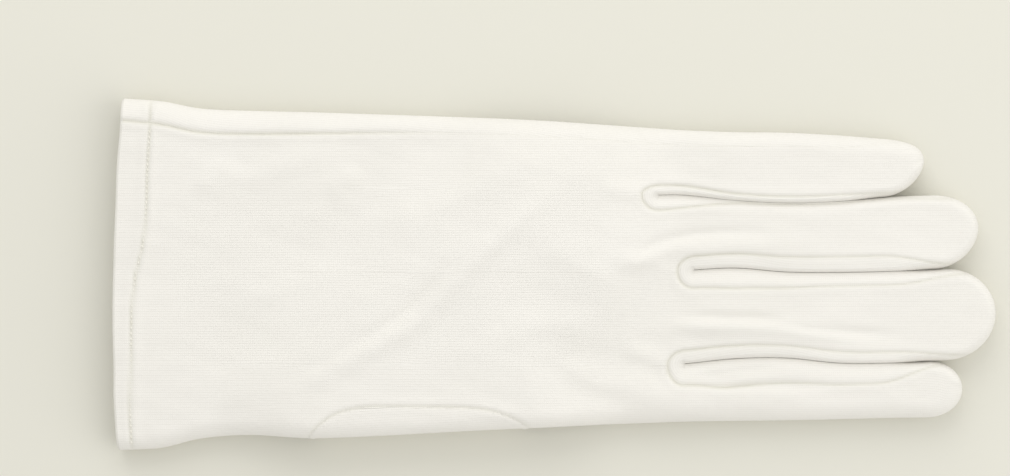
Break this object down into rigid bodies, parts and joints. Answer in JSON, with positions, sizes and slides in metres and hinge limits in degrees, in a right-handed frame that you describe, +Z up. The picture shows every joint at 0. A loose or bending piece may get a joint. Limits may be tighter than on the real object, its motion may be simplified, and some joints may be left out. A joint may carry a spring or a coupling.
{
  "type": "white parade glove",
  "caption": "Plain white cotton dress glove for the left hand, lying flat with its back up and its thumb folded under the palm.",
  "frame": {"origin": "middle of the glove's length and width, on the surface that it lies on", "axes": "+X from the cuff to the fingertips, +Y from the index finger's side to the little finger's side, +Z up out of the back of the hand"},
  "size_m": [0.25, 0.1006, 0.0162],
  "materials": {
    "white_knit": "fine matt cotton knit, ribs along the fingers",
    "hem_knit": "matt wrong side of the same cotton knit"
  },
  "bodies": {
    "root": {"back_panel": "white_knit", "palm_panel": "white_knit", "fourchette_index_middle": "white_knit", "fourchette_middle_ring": "white_knit", "fourchette_ring_little": "white_knit", "thumb": "white_knit", "cuff_hem": "hem_knit"}
  },
  "joints": []
}
